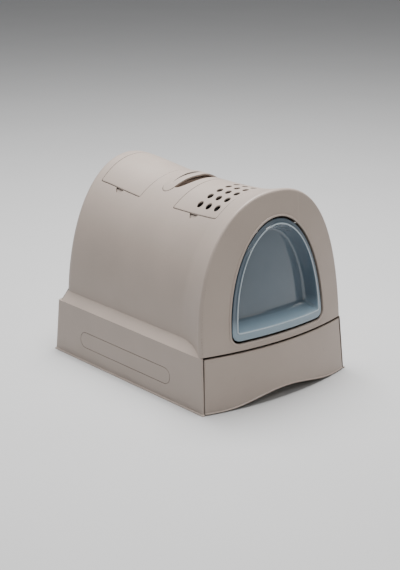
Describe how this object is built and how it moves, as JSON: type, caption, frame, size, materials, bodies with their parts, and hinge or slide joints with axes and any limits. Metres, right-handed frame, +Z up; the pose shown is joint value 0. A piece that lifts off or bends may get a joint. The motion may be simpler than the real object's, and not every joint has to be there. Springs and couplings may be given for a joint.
{
  "type": "hooded cat litter box",
  "caption": "Hooded cat litter box with a see-through swinging door, a litter drawer, hinged roof hatches over a filter and a storage bin, and a carry handle.",
  "frame": {"origin": "on the floor, under the middle of the box's footprint", "axes": "+Z up, -Y out of the front where the door and drawer are, +Y towards the rear along the length, +X to the right seen from behind"},
  "size_m": [0.406, 0.5599, 0.4268],
  "materials": {
    "hood_plastic": "fine moulded grain",
    "inner_plastic": "fine moulded grain",
    "smoked_clear": "polished clear moulding",
    "pale_plastic": "satin",
    "scoop_plastic": "satin",
    "carbon_felt": "fibrous",
    "screw_steel": "zinc plated"
  },
  "bodies": {
    "hood": {"hood_shell": "hood_plastic", "carry_handle": "hood_plastic", "handle_screws": "screw_steel", "side_inlay_left": "hood_plastic", "side_inlay_right": "hood_plastic", "runner_left": "inner_plastic", "runner_right": "inner_plastic", "runner_screws": "screw_steel", "filter_cradle": "inner_plastic", "carbon_filter": "carbon_felt", "storage_bin": "inner_plastic", "litter_scoop": "scoop_plastic", "door_bushings": "pale_plastic"},
    "drawer": {"litter_tray": "inner_plastic", "drawer_front": "hood_plastic", "drawer_front_screws": "screw_steel"},
    "door": {"door_panel": "smoked_clear", "door_pivot_pins": "pale_plastic"},
    "front_hatch": {"filter_hatch": "hood_plastic", "filter_hatch_pins": "screw_steel"},
    "rear_hatch": {"storage_hatch": "hood_plastic", "storage_hatch_pins": "screw_steel"}
  },
  "joints": [
    {"name": "drawer_slide", "type": "slide", "parent": "hood", "child": "drawer", "axis": [0, -1, 0], "range_m": [0, 0.42]},
    {"name": "door_swing", "type": "hinge", "parent": "hood", "child": "door", "pos_m": [0, -0.2394, 0.35], "axis": [1, 0, 0], "range_deg": [-50, 55]},
    {"name": "front_hatch_hinge", "type": "hinge", "parent": "hood", "child": "front_hatch", "pos_m": [0.099, -0.16893, 0.36529], "axis": [0, 0.9991, -0.0412], "range_deg": [0, 100]},
    {"name": "rear_hatch_hinge", "type": "hinge", "parent": "hood", "child": "rear_hatch", "pos_m": [0.099, 0.07462, 0.36085], "axis": [0, 0.9974, 0.0722], "range_deg": [0, 100]}
  ]
}
